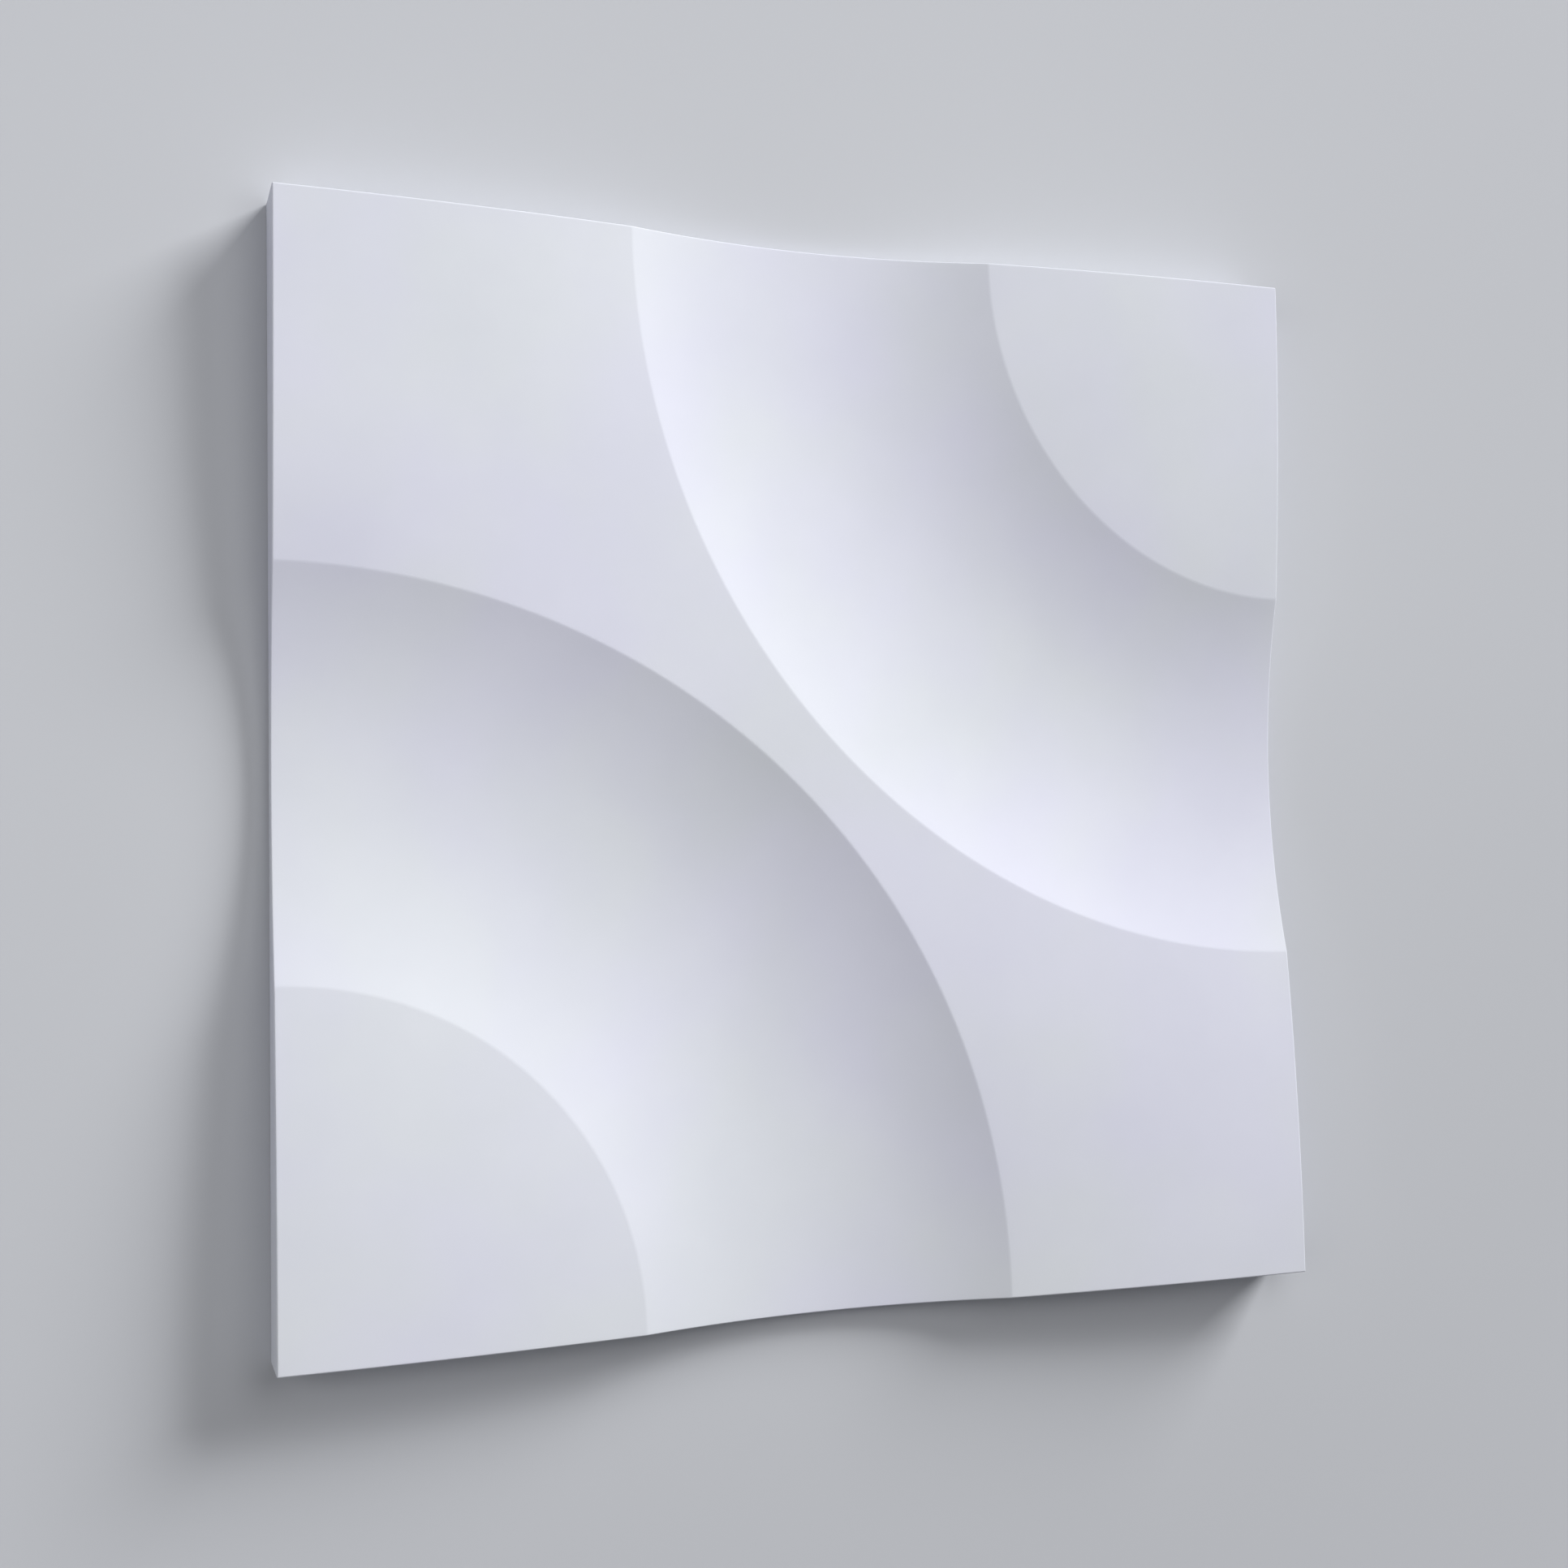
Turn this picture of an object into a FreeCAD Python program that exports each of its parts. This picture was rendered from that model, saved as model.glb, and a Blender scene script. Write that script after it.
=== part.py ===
import FreeCAD, Part
import math
import os

from FreeCAD import Vector

# Cast gypsum relief tile for a wall, lying on its back. The origin is the middle of the back
# face and +Z points out of the relief. Two quarter-ring channels are turned about the corner at
# +X +Y and the corner at -X -Y. The other two corners are plain. All four corners are equally
# high, and every side of the tile has the same section, whichever way it is turned.

# Driving dimensions, in millimetres
TILE_SIDE = 500.0             # edge length of the square tile
CHANNEL_WIDTH = 180.0         # one channel from crease to crease, centred on the tile's sides
FLOOR_THICKNESS = 8.0         # gypsum left under a channel's lowest line
CHANNEL_DEPTH = 11.4          # from the creases down to a channel's lowest line
CORNER_RISE = 7.6             # from the creases up to the four corners

# Working values of the cuts: they shape no part of the tile by themselves
CUT_OVERRUN = 5.0             # how far a cut runs on past the outline of the tile
CREASE_LAP = 2.0              # how far two cuts run on past the crease where they cross
SAMPLE_PITCH = 20.0           # spacing of the points that the field's surface goes through
HALVES_SHARPNESS = 20.0       # how quickly the field passes from one half's formula to the other

UP = Vector(0, 0, 1)

half_side = TILE_SIDE / 2
ring_inner = half_side - CHANNEL_WIDTH / 2
ring_outer = half_side + CHANNEL_WIDTH / 2
crease_z = FLOOR_THICKNESS + CHANNEL_DEPTH
corner_z = crease_z + CORNER_RISE
blank_z = corner_z + CUT_OVERRUN
cut_top_z = blank_z + CUT_OVERRUN
tall = 2 * TILE_SIDE          # more than any height that a cut has to span

# The rise from a crease to a corner is a circular arc that is level at the corner.
dome_radius = (ring_inner ** 2 + CORNER_RISE ** 2) / (2 * CORNER_RISE)
# A channel's section is a circular arc through its two creases and its lowest line.
channel_radius = ((CHANNEL_WIDTH / 2) ** 2 + CHANNEL_DEPTH ** 2) / (2 * CHANNEL_DEPTH)

# Each ring turns about a corner, from the first of these directions on by a quarter turn.
RINGS = [
    (Vector(half_side, half_side, 0), 180),
    (Vector(-half_side, -half_side, 0), 0),
]


def dome_height(distance):
    """Height of the rise at a distance from the corner it climbs to."""
    return corner_z - dome_radius + math.sqrt(dome_radius ** 2 - distance ** 2)


def channel_height(radius):
    """Height of a channel's section at a distance from the ring's centre."""
    off_middle = radius - half_side
    return FLOOR_THICKNESS + channel_radius - math.sqrt(channel_radius ** 2 - off_middle ** 2)


def ring_cut(corner, first_angle):
    """Everything above the dome and the channel that are turned about one corner of the tile."""
    def at(radius, height):
        return corner + Vector(radius, 0, height)

    lap_radius = ring_outer + CREASE_LAP
    lap_z = channel_height(lap_radius)
    peak = at(0, corner_z)
    inner_crease = at(ring_inner, crease_z)
    lap_edge = at(lap_radius, lap_z)
    rim = at(lap_radius + cut_top_z - lap_z, cut_top_z)
    axis_top = at(0, cut_top_z)
    section = Part.Face(Part.Wire([
        Part.Arc(peak, at(ring_inner / 2, dome_height(ring_inner / 2)), inner_crease).toShape(),
        Part.Arc(inner_crease, at(half_side, FLOOR_THICKNESS), lap_edge).toShape(),
        Part.makeLine(lap_edge, rim),
        Part.makeLine(rim, axis_top),
        Part.makeLine(axis_top, peak),
    ]))
    overrun_angle = math.degrees(CUT_OVERRUN / ring_inner)
    section.rotate(corner, UP, first_angle - overrun_angle)
    return section.revolve(corner, UP, 90 + 2 * overrun_angle)


def field_level(u, v):
    """How high the field stands near a plain corner: 1 at the corner, 0 on both ring outlines.

    u and v are the distances from the two sides that meet at that corner. Along either side the
    level follows the same arc as the rise inside a ring, and in between it is smooth.
    """
    past_one_ring = math.hypot(TILE_SIDE - u, v) - ring_outer
    past_other_ring = math.hypot(u, TILE_SIDE - v) - ring_outer
    across = u / (u + past_one_ring)
    along = v / (v + past_other_ring)
    return (1 - across ** 2) * (1 - along ** 2) * (1 - across * along)


def field_height(x, y):
    """Height of the smooth field between the two rings, which holds both plain corners."""
    u = x + half_side
    v = half_side - y
    to_first_half = (TILE_SIDE - u - v) / TILE_SIDE
    first_share = 1 / (1 + math.exp(-HALVES_SHARPNESS * to_first_half))
    level = first_share * field_level(u, v)
    level += (1 - first_share) * field_level(TILE_SIDE - u, TILE_SIDE - v)
    return dome_height(ring_inner * math.sqrt(max(0, 1 - level)))


def field_cut():
    """Everything above the field, as far as the two ring outlines."""
    reach = half_side + CUT_OVERRUN
    spans = math.ceil(2 * reach / SAMPLE_PITCH)
    places = [-reach + 2 * reach * step / spans for step in range(spans + 1)]
    surface = Part.BSplineSurface()
    surface.interpolate([[Vector(x, y, field_height(x, y)) for y in places] for x in places])
    cut = surface.toShape().extrude(UP * tall)
    for corner, _ in RINGS:
        ring = Part.makeCylinder(ring_outer - CREASE_LAP, 3 * tall, corner - UP * tall, UP)
        cut = cut.cut(ring)
    return cut


def wall_tile():
    """The tile: a flat-backed blank, cut down to the two rings and the field between them."""
    tile = Part.makeBox(TILE_SIDE, TILE_SIDE, blank_z, Vector(-half_side, -half_side, 0))
    for corner, first_angle in RINGS:
        tile = tile.cut(ring_cut(corner, first_angle))
    return tile.cut(field_cut())


os.makedirs("parts", exist_ok=True)
tile = wall_tile()
print("solids", len(tile.Solids), "faces", len(tile.Faces), "valid", tile.isValid())
print("litres", round(tile.Volume / 1e6, 4))
tile.exportStep("parts/wall_tile.step")
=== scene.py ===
import math

import bmesh
import bpy
from mathutils import Matrix, Quaternion, Vector, noise
from mathutils.geometry import delaunay_2d_cdt


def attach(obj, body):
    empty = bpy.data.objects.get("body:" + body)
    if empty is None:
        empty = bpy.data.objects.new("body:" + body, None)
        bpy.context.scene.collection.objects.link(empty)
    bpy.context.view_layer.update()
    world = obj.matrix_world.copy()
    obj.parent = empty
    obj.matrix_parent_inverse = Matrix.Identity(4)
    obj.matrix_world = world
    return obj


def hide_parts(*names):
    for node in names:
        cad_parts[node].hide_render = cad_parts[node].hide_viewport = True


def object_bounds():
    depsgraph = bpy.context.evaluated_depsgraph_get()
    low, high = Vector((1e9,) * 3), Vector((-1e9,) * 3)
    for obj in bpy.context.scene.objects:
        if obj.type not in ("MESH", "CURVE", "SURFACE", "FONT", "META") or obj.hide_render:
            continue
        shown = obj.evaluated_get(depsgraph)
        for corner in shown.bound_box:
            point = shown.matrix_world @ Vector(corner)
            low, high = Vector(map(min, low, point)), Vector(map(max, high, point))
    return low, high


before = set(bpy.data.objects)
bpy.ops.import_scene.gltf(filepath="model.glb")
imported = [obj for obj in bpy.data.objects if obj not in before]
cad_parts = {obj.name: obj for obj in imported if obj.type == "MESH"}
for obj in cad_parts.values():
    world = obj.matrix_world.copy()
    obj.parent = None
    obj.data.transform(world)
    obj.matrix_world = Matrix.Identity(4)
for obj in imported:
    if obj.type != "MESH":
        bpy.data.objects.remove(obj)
cad_low, cad_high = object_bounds()

# The tile's sizes, in metres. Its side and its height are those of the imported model.
SIDE = cad_high.x - cad_low.x
TOP = cad_high.z
CHANNEL_WIDTH = 0.180          # from crease to crease
CHANNEL_DEPTH = 0.0114         # from the creases down to a channel's lowest line
CORNER_RISE = 0.0076           # from the creases up to the four corners

# How quickly the field between the rings passes from one half's formula to the other
HALVES_SHARPNESS = 20.0

# Softness that casting and handling leave on the sharp lines, in metres
RIM_RADIUS = 0.0006            # rounding of the tile's outer edges
CREASE_REACH = 0.0009          # how far a crease is rounded to each side

# Fineness of the mesh, in metres or in steps
RING_PITCH = 0.0040            # between the rows of a dome or a channel
FIELD_PITCH = 0.0040           # between the rows and columns of the field
TURN_STEPS = 132               # along a quarter turn of a ring
SHORT_LINE_PARTS = 10          # a short line across the field starts with one of this many parts
RIM_STEPS = 4                  # around the rounding of an outer edge
WALL_STEPS = 4                 # down a side face
BACK_PITCH = 0.0055            # between the points of the back

# The back as it was levelled in the mould, in metres unless it says otherwise
BACK_HOLLOW = 0.00030          # the marks are nearly as deep as this
BACK_MARK_LENGTH = 0.140
BACK_MARK_WIDTH = 0.022
BACK_MARGIN = 0.020            # the marks fade out this far from the edges
SMALL_MARK_SHARE = 0.35        # depth of the short marks, as a share of the long ones' depth
LONG_MARK_SLICE = 3.1          # where the two kinds of marks are cut out of the noise, in its units
SMALL_MARK_SLICE = 8.7

# Points that are nearer than this count as one, in metres
MERGE_DISTANCE = 2e-6          # where two parts of the mesh meet
OUTLINE_DISTANCE = 1e-6        # along the outline of the back
TRIANGLE_DISTANCE = 1e-7       # while the back is divided into triangles

# Numbers by which Blender knows things that it gives no name of their own
INSIDE_OUTLINE = 1             # triangles only inside the given edges
MIX_FIRST_COLOUR = 6           # inputs and output of a mix node that are for colours
MIX_SECOND_COLOUR = 7
MIX_RESULT_COLOUR = 2

half = SIDE / 2
ring_inner = half - CHANNEL_WIDTH / 2
ring_outer = half + CHANNEL_WIDTH / 2
crease_z = TOP - CORNER_RISE
floor_z = crease_z - CHANNEL_DEPTH
dome_radius = (ring_inner ** 2 + CORNER_RISE ** 2) / (2 * CORNER_RISE)
channel_radius = ((CHANNEL_WIDTH / 2) ** 2 + CHANNEL_DEPTH ** 2) / (2 * CHANNEL_DEPTH)
dome_slope = math.tan(math.asin(ring_inner / dome_radius))
channel_slope = math.tan(math.asin(CHANNEL_WIDTH / 2 / channel_radius))
# A parabola that rounds a crease passes this far under its sharp line.
crease_drop = CREASE_REACH * (channel_slope - dome_slope) / 4


def dome_height(distance):
    """Height of the rise at a distance from the corner it climbs to."""
    return TOP - dome_radius + math.sqrt(dome_radius ** 2 - distance ** 2)


def channel_height(radius):
    """Height of a channel's section at a distance from the ring's centre."""
    return floor_z + channel_radius - math.sqrt(channel_radius ** 2 - (radius - half) ** 2)


def field_level(u, v):
    """How high the field stands near a plain corner: 1 at the corner, 0 on both ring outlines."""
    across = u / (u + math.hypot(SIDE - u, v) - ring_outer)
    along = v / (v + math.hypot(u, SIDE - v) - ring_outer)
    return (1 - across ** 2) * (1 - along ** 2) * (1 - across * along)


def field_height(x, y):
    """Height of the smooth field between the two rings, which holds both plain corners."""
    u = x + half
    v = half - y
    first_share = 1 / (1 + math.exp(-HALVES_SHARPNESS * (SIDE - u - v) / SIDE))
    level = first_share * field_level(u, v)
    level += (1 - first_share) * field_level(SIDE - u, SIDE - v)
    return dome_height(ring_inner * math.sqrt(max(0.0, 1 - level)))


def relief_height(x, y):
    """Height of the tile's face, with its creases slightly rounded."""
    radius = min(math.hypot(half - x, half - y), math.hypot(half + x, half + y))
    if radius < ring_inner:
        height = dome_height(radius)
    elif radius < ring_outer:
        height = channel_height(radius)
    else:
        height = field_height(x, y)
    for crease in (ring_inner, ring_outer):
        nearness = max(0.0, 1 - abs(radius - crease) / CREASE_REACH)
        height -= crease_drop * nearness ** 2
    return height


def on_face(x, y):
    """The point of the tile's face at a place in plan."""
    return Vector((x, y, relief_height(x, y)))


def evenly(start, end, pitch):
    """Numbers from start to end, both included, at most pitch apart."""
    steps = max(1, math.ceil(abs(end - start) / pitch))
    return [start + (end - start) * step / steps for step in range(steps + 1)]


def ring_radii():
    """Radii of a ring's rows, from the tile's rounded corner out to the outer crease."""
    first = RIM_RADIUS * math.sqrt(2)
    radii = evenly(first, ring_inner - CREASE_REACH, RING_PITCH)
    radii += [ring_inner - CREASE_REACH / 2, ring_inner, ring_inner + CREASE_REACH / 2]
    radii += evenly(ring_inner + CREASE_REACH, ring_outer - CREASE_REACH, RING_PITCH)
    radii += [ring_outer - CREASE_REACH / 2, ring_outer]
    return radii


def ring_rows(turned):
    """Points of one ring and its dome. turned is 1 for the ring at +X +Y and -1 for the other."""
    rows = []
    for radius in ring_radii():
        first = math.asin(RIM_RADIUS / radius)
        angles = [first + (math.pi / 2 - 2 * first) * step / TURN_STEPS
                  for step in range(TURN_STEPS + 1)]
        rows.append([on_face(turned * (half - radius * math.cos(angle)),
                             turned * (half - radius * math.sin(angle))) for angle in angles])
    return rows


def field_side_places():
    """Distances from a plain corner along a side, up to where the outer crease meets it."""
    crease = SIDE - math.sqrt(ring_outer ** 2 - RIM_RADIUS ** 2)
    places = evenly(RIM_RADIUS, crease - CREASE_REACH, FIELD_PITCH)
    return places + [crease - CREASE_REACH / 2, crease]


def across_places(length):
    """Shares of a line across the field, closer together where it meets the creases."""
    near = min(CREASE_REACH / 2, length / SHORT_LINE_PARTS)
    columns = math.ceil(math.sqrt(2) * ring_inner / FIELD_PITCH)
    inner = [2 * near + (length - 4 * near) * step / columns for step in range(columns + 1)]
    places = [0, near] + inner + [length - near, length]
    return [place / length if length > 0 else 0 for place in places]


def field_rows():
    """Points of the field, in lines square to the diagonal that joins the plain corners.

    Each line starts on the side at +Y, on the first ring's crease or on the side at +X, and
    ends at the mirror image of that point.
    """
    starts = [(-half + place, half - RIM_RADIUS) for place in field_side_places()]
    arc = ring_rows(1)[-1]
    starts += [(point.x, point.y) for point in arc[1:-1]]
    starts += [(half - RIM_RADIUS, -half + place) for place in reversed(field_side_places())]
    rows = []
    for x, y in starts:
        start = Vector((x, y))
        end = Vector((-y, -x))
        line = [start.lerp(end, share) for share in across_places((end - start).length)]
        rows.append([on_face(point.x, point.y) for point in line])
    return rows


def rim_columns():
    """(x, y, outward direction) all round the tile, just inside its rounded outer edge."""
    places = field_side_places()
    places += [SIDE - math.sqrt(max(0.0, radius ** 2 - RIM_RADIUS ** 2))
               for radius in reversed(ring_radii()[:-1])]
    from_ring = [SIDE - place for place in reversed(places)]
    sides = [(Vector((0, 1)), places), (Vector((1, 0)), from_ring),
             (Vector((0, -1)), places), (Vector((-1, 0)), from_ring)]
    columns = []
    for outward, ordered in sides:
        forward = Vector((outward.y, -outward.x))
        for place in ordered:
            spot = outward * (half - RIM_RADIUS) + forward * (place - half)
            columns.append((spot.x, spot.y, outward))
        for step in range(1, RIM_STEPS):
            turn = math.pi / 2 * step / RIM_STEPS
            swung = outward * math.cos(turn) + forward * math.sin(turn)
            columns.append((spot.x, spot.y, swung))
    return columns


def wall_rows():
    """Points of the rounded rim, the side faces and the rounding round the back."""
    rows = []
    turns = [math.pi / 2 * step / RIM_STEPS for step in range(RIM_STEPS + 1)]
    for x, y, outward in rim_columns():
        top = relief_height(x, y)
        offsets = [(math.sin(turn), top - RIM_RADIUS + RIM_RADIUS * math.cos(turn))
                   for turn in turns]
        offsets += [(1, top - RIM_RADIUS + (2 * RIM_RADIUS - top) * step / WALL_STEPS)
                    for step in range(1, WALL_STEPS)]
        offsets += [(math.cos(turn), RIM_RADIUS - RIM_RADIUS * math.sin(turn))
                    for turn in turns]
        rows.append([Vector((x + outward.x * RIM_RADIUS * out,
                             y + outward.y * RIM_RADIUS * out, z)) for out, z in offsets])
    rows.append(rows[0])
    return rows


def back_height(x, y):
    """How far a shallow mark goes up into the back, which was drawn level in the open mould."""
    margin = half - RIM_RADIUS - max(abs(x), abs(y))
    fade = min(1.0, margin / BACK_MARGIN)
    long_place = Vector((x / BACK_MARK_LENGTH, y / BACK_MARK_WIDTH, LONG_MARK_SLICE))
    small_place = Vector((x / BACK_MARK_WIDTH, y / BACK_MARK_WIDTH, SMALL_MARK_SLICE))
    marks = noise.noise(long_place) + SMALL_MARK_SHARE * noise.noise(small_place)
    return BACK_HOLLOW * fade * max(0.0, marks)


def add_grid(shape, rows):
    """Adds a grid of four-sided faces through rows of points."""
    corners = [[shape.verts.new(point) for point in row] for row in rows]
    for row, following in zip(corners, corners[1:]):
        for step in range(len(row) - 1):
            shape.faces.new((row[step], row[step + 1], following[step + 1], following[step]))


def add_back(shape):
    """Adds the back as triangles, and marks them with the second material."""
    outline = []
    for x, y, _ in rim_columns():
        if not outline or (Vector((x, y)) - outline[-1]).length > OUTLINE_DISTANCE:
            outline.append(Vector((x, y)))
    edges = [(step, (step + 1) % len(outline)) for step in range(len(outline))]
    reach = half - RIM_RADIUS - BACK_PITCH / 2
    places = evenly(-reach, reach, BACK_PITCH)
    points = outline + [Vector((x, y)) for x in places for y in places]
    spots, _, triangles, _, _, _ = delaunay_2d_cdt(
        points, edges, [], INSIDE_OUTLINE, TRIANGLE_DISTANCE)
    corners = [shape.verts.new((spot.x, spot.y, back_height(spot.x, spot.y)))
               for spot in spots]
    for triangle in triangles:
        face = shape.faces.new([corners[corner] for corner in triangle])
        face.material_index = 1


def cast_tile():
    """The whole tile as one closed mesh."""
    shape = bmesh.new()
    for rows in (ring_rows(1), ring_rows(-1), field_rows(), wall_rows()):
        add_grid(shape, rows)
    add_back(shape)
    bmesh.ops.remove_doubles(shape, verts=shape.verts, dist=MERGE_DISTANCE)
    bmesh.ops.recalc_face_normals(shape, faces=shape.faces)
    for face in shape.faces:
        face.smooth = True
    open_edges = [edge for edge in shape.edges if len(edge.link_faces) != 2]
    mesh = bpy.data.meshes.new("cast_tile")
    shape.to_mesh(mesh)
    shape.free()
    print("cast_tile faces", len(mesh.polygons), "open edges", len(open_edges))
    tile = bpy.data.objects.new("cast_tile", mesh)
    bpy.context.scene.collection.objects.link(tile)
    tile.modifiers.new("even_normals", "WEIGHTED_NORMAL")
    return tile


class Nodes:
    """A material's node tree, with short calls to add and join nodes."""

    def __init__(self, name):
        self.material = bpy.data.materials.new(name)
        self.material.use_nodes = True
        self.tree = self.material.node_tree
        self.shader = self.tree.nodes["Principled BSDF"]
        self.place = self.tree.nodes.new("ShaderNodeTexCoord").outputs["Object"]

    def add(self, kind, **values):
        """Adds a node and sets its properties."""
        node = self.tree.nodes.new(kind)
        for name, value in values.items():
            setattr(node, name, value)
        return node

    def join(self, start, end):
        """Links an output to an input."""
        self.tree.links.new(start, end)

    def cloud(self, scale, detail=3.0, roughness=0.5):
        """A noise from 0 to 1. scale is in spots per metre."""
        node = self.add("ShaderNodeTexNoise")
        self.join(self.place, node.inputs["Vector"])
        node.inputs["Scale"].default_value = scale
        node.inputs["Detail"].default_value = detail
        node.inputs["Roughness"].default_value = roughness
        return node.outputs["Fac"]

    def spread(self, value, low, high, to_low=0.0, to_high=1.0):
        """Maps low..high to to_low..to_high."""
        node = self.add("ShaderNodeMapRange")
        self.join(value, node.inputs["Value"])
        for name, number in (("From Min", low), ("From Max", high),
                             ("To Min", to_low), ("To Max", to_high)):
            node.inputs[name].default_value = number
        return node.outputs["Result"]

    def blend(self, share, first, second):
        """Mixes two colours. Each is a colour or a socket."""
        node = self.add("ShaderNodeMix", data_type="RGBA")
        self.join(share, node.inputs["Factor"])
        for index, colour in ((MIX_FIRST_COLOUR, first), (MIX_SECOND_COLOUR, second)):
            if isinstance(colour, bpy.types.NodeSocket):
                self.join(colour, node.inputs[index])
            else:
                node.inputs[index].default_value = (*colour, 1.0)
        return node.outputs[MIX_RESULT_COLOUR]

    def bump(self, height, depth, after=None):
        """Raises the surface by height times depth, in metres."""
        node = self.add("ShaderNodeBump")
        node.inputs["Distance"].default_value = depth
        self.join(height, node.inputs["Height"])
        if after:
            self.join(after, node.inputs["Normal"])
        return node.outputs["Normal"]


def linear(red, green, blue):
    """A colour as Blender's shaders take it, from its sRGB values of 0 to 255 on a screen."""
    def channel(value):
        share = value / 255
        return share / 12.92 if share <= 0.04045 else ((share + 0.055) / 1.055) ** 2.4
    return (channel(red), channel(green), channel(blue))


# The gypsum's colours. Where there are two, the surface varies between them.
FACE_NEUTRAL = linear(217, 220, 227), linear(222, 225, 231)
FACE_BLUISH = linear(217, 218, 232), linear(222, 223, 236)
BACK_CHALKY = linear(203, 203, 206), linear(216, 216, 219)
# painted shade: the colour that darkens the inside of the back's small pits, where shade would fall
PIT_PAINTED_SHADE = linear(184, 184, 188)

# The gypsum's fine relief, in metres
FACE_GRAIN_DEPTH = 0.000012
FACE_WAVE_DEPTH = 0.000025
BACK_GRAIN_DEPTH = 0.00012
PIT_DEPTH = 0.0006


def cast_gypsum():
    """The face and sides as they leave the mould: matt, fine and almost even."""
    nodes = Nodes("cast_gypsum")
    tone = nodes.spread(nodes.cloud(scale=11, detail=4, roughness=0.55), low=0.3, high=0.7)
    neutral = nodes.blend(tone, *FACE_NEUTRAL)
    bluish = nodes.blend(tone, *FACE_BLUISH)
    tint = nodes.spread(nodes.cloud(scale=7), low=0.38, high=0.62)
    nodes.join(nodes.blend(tint, neutral, bluish), nodes.shader.inputs["Base Color"])
    matt = nodes.spread(nodes.cloud(scale=160), low=0.3, high=0.7, to_low=0.84, to_high=0.94)
    nodes.join(matt, nodes.shader.inputs["Roughness"])
    grain = nodes.bump(nodes.cloud(scale=1400, detail=2), FACE_GRAIN_DEPTH)
    waves = nodes.bump(nodes.cloud(scale=38, detail=2), FACE_WAVE_DEPTH, grain)
    nodes.join(waves, nodes.shader.inputs["Normal"])
    nodes.shader.inputs["Specular IOR Level"].default_value = 0.1
    return nodes.material


def raw_gypsum():
    """The back: drawn level in the open mould, so it is chalky, with marks and small pits, and
    painted shade darkens the pits.
    """
    nodes = Nodes("raw_gypsum")
    tone = nodes.spread(nodes.cloud(scale=24, detail=5, roughness=0.6), low=0.3, high=0.7)
    chalky = nodes.blend(tone, *BACK_CHALKY)
    bubbles = nodes.add("ShaderNodeTexVoronoi")
    nodes.join(nodes.place, bubbles.inputs["Vector"])
    bubbles.inputs["Scale"].default_value = 90
    outside_pits = nodes.spread(bubbles.outputs["Distance"], low=0.07, high=0.13)
    # painted shade: the pits are darkened in colour towards their middles, on top of their bump
    shaded = nodes.blend(outside_pits, PIT_PAINTED_SHADE, chalky)
    nodes.join(shaded, nodes.shader.inputs["Base Color"])
    nodes.shader.inputs["Roughness"].default_value = 0.85
    pits = nodes.bump(outside_pits, PIT_DEPTH)
    grain = nodes.bump(nodes.cloud(scale=700, detail=4, roughness=0.65), BACK_GRAIN_DEPTH, pits)
    nodes.join(grain, nodes.shader.inputs["Normal"])
    nodes.shader.inputs["Specular IOR Level"].default_value = 0.2
    return nodes.material


# The studio. Lengths are in metres.
FLOOR_SIZE = 60.0
FLOOR_GAP = 0.0002             # keeps the floor clear of the tile's back
FLOOR_COLOUR = linear(200, 202, 207)
FADE_START = 0.2               # the floor passes into the surround between these two distances
FADE_END = 2.0
SURROUND_COLOUR = linear(222, 224, 229)
WORLD_COLOUR = linear(246, 248, 255)
WORLD_STRENGTH = 0.081


def seen_directly(tree):
    """1 for rays from the camera, by reflection or through glass too, and 0 for the rest."""
    path = tree.nodes.new("ShaderNodeLightPath")
    seen = path.outputs["Is Camera Ray"]
    for name in ("Is Glossy Ray", "Is Transmission Ray"):
        either = tree.nodes.new("ShaderNodeMath")
        either.operation = "MAXIMUM"
        tree.links.new(seen, either.inputs[0])
        tree.links.new(path.outputs[name], either.inputs[1])
        seen = either.outputs[0]
    return seen


def studio_floor():
    """A wide plain pale floor under the tile, which passes into the surround further out."""
    bpy.ops.mesh.primitive_plane_add(size=FLOOR_SIZE, location=(0, 0, -FLOOR_GAP))
    floor = bpy.context.object
    floor.name = "studio_floor"
    nodes = Nodes("floor_paint")
    nodes.shader.inputs["Base Color"].default_value = (*FLOOR_COLOUR, 1)
    nodes.shader.inputs["Roughness"].default_value = 0.9
    nodes.shader.inputs["Specular IOR Level"].default_value = 0.1
    away = nodes.add("ShaderNodeVectorMath", operation="LENGTH")
    nodes.join(nodes.place, away.inputs[0])
    fade = nodes.spread(away.outputs["Value"], low=FADE_START, high=FADE_END)
    fade.node.interpolation_type = "SMOOTHSTEP"
    share = nodes.add("ShaderNodeMath", operation="MULTIPLY")
    nodes.join(fade, share.inputs[0])
    nodes.join(seen_directly(nodes.tree), share.inputs[1])
    surround = nodes.add("ShaderNodeEmission")
    surround.inputs["Color"].default_value = (*SURROUND_COLOUR, 1)
    mix = nodes.add("ShaderNodeMixShader")
    nodes.join(share.outputs[0], mix.inputs["Fac"])
    nodes.join(nodes.shader.outputs[0], mix.inputs[1])
    nodes.join(surround.outputs[0], mix.inputs[2])
    nodes.join(mix.outputs[0], nodes.tree.nodes["Material Output"].inputs["Surface"])
    floor.data.materials.append(nodes.material)


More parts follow.
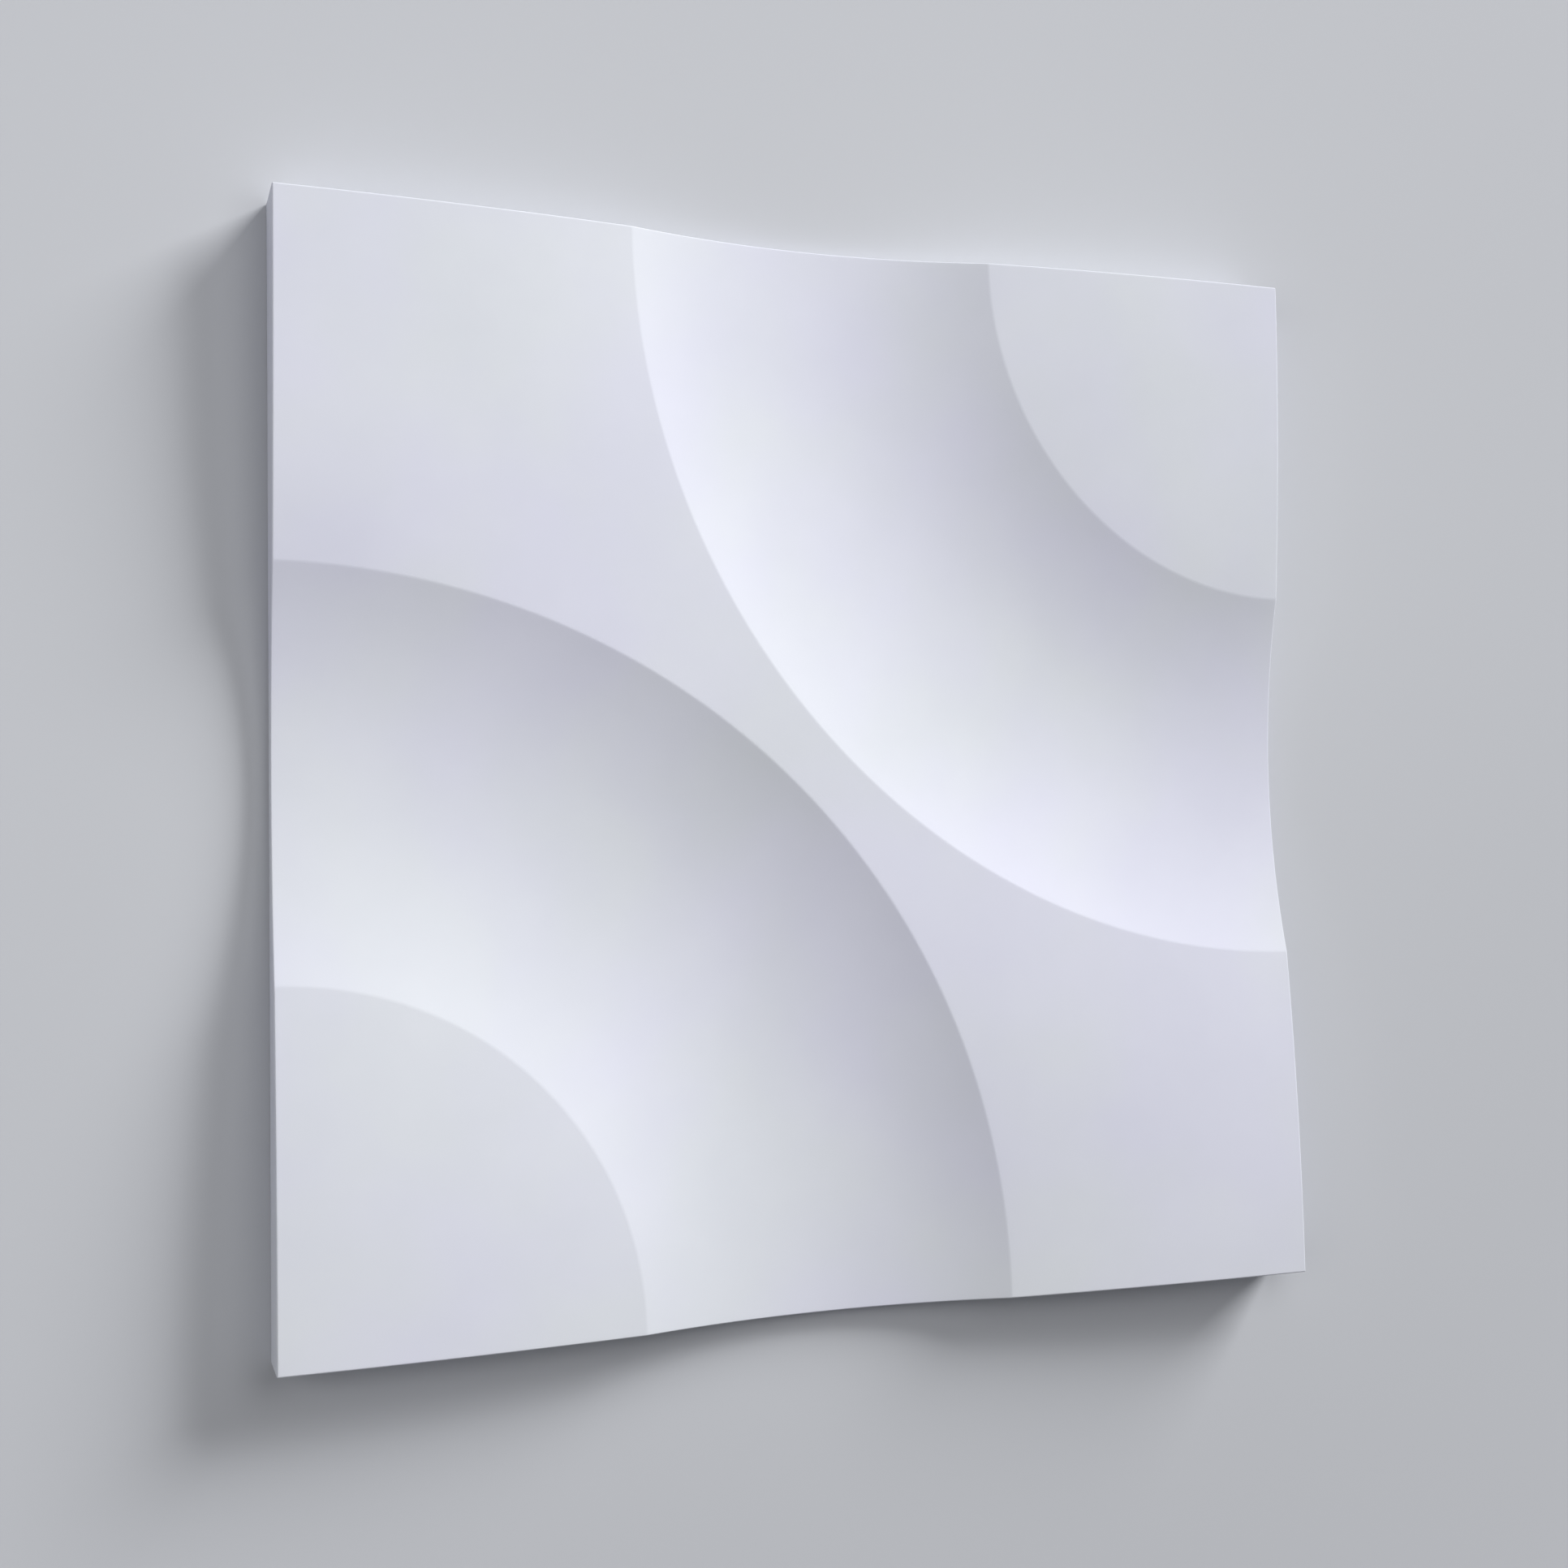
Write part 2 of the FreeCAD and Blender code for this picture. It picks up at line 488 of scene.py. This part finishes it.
def studio_world():
    """Even light from all round, and a pale surround."""
    world = bpy.data.worlds.new("studio_world")
    bpy.context.scene.world = world
    world.use_nodes = True
    tree = world.node_tree
    light = tree.nodes["Background"]
    light.inputs["Color"].default_value = (*WORLD_COLOUR, 1)
    light.inputs["Strength"].default_value = WORLD_STRENGTH
    seen = tree.nodes.new("ShaderNodeBackground")
    seen.inputs["Color"].default_value = (*SURROUND_COLOUR, 1)
    mix = tree.nodes.new("ShaderNodeMixShader")
    tree.links.new(seen_directly(tree), mix.inputs["Fac"])
    tree.links.new(light.outputs[0], mix.inputs[1])
    tree.links.new(seen.outputs[0], mix.inputs[2])
    tree.links.new(mix.outputs[0], tree.nodes["World Output"].inputs["Surface"])


def studio_lamp(name, azimuth, elevation, distance, size, watts):
    """A square soft light that faces the tile. Azimuth 0 is towards +X and 90 towards +Y."""
    lamp = bpy.data.lights.new(name, "AREA")
    lamp.size = size
    lamp.energy = watts
    turn = math.radians(azimuth)
    rise = math.radians(elevation)
    away = Vector((math.cos(turn) * math.cos(rise), math.sin(turn) * math.cos(rise),
                   math.sin(rise)))
    holder = bpy.data.objects.new(name, lamp)
    holder.location = away * distance
    holder.rotation_euler = away.to_track_quat("Z", "Y").to_euler()
    holder.visible_camera = False
    bpy.context.scene.collection.objects.link(holder)


# The camera. Lengths are in metres.
CAMERA_PLACE = Vector((-0.3220, -0.0479, 0.8423))
CAMERA_AIM = Vector((-0.0238, -0.0054, 0.0270))
CAMERA_ROLL = math.radians(-1.0)
CAMERA_LENS = 43.59            # in millimetres, on a sensor 36 mm wide


def photo_camera():
    """The photograph's viewing angle, drawn in so that the tile fills the picture, with +Y up."""
    lens = bpy.data.cameras.new("photo_camera")
    lens.lens = CAMERA_LENS
    camera = bpy.data.objects.new("photo_camera", lens)
    forward = (CAMERA_AIM - CAMERA_PLACE).normalized()
    right = forward.cross(Vector((0, 1, 0))).normalized()
    up = right.cross(forward)
    level = Matrix((right, up, -forward)).transposed().to_quaternion()
    camera.rotation_mode = "QUATERNION"
    camera.rotation_quaternion = level @ Quaternion((0, 0, 1), CAMERA_ROLL)
    camera.location = CAMERA_PLACE
    bpy.context.scene.collection.objects.link(camera)
    bpy.context.scene.camera = camera


tile = cast_tile()
tile.data.materials.append(cast_gypsum())
tile.data.materials.append(raw_gypsum())
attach(tile, "root")
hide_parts("wall_tile")

studio_floor()
studio_world()
studio_lamp("key_light", azimuth=43, elevation=21, distance=10.0, size=4.4, watts=1400)
studio_lamp("top_light", azimuth=75, elevation=75, distance=0.8, size=0.5, watts=1.66)
studio_lamp("left_light", azimuth=180, elevation=45, distance=1.6, size=0.9, watts=5.6)
studio_lamp("low_light", azimuth=210, elevation=9, distance=3.0, size=0.9, watts=2.7)
photo_camera()
bpy.context.scene.view_settings.view_transform = "Standard"
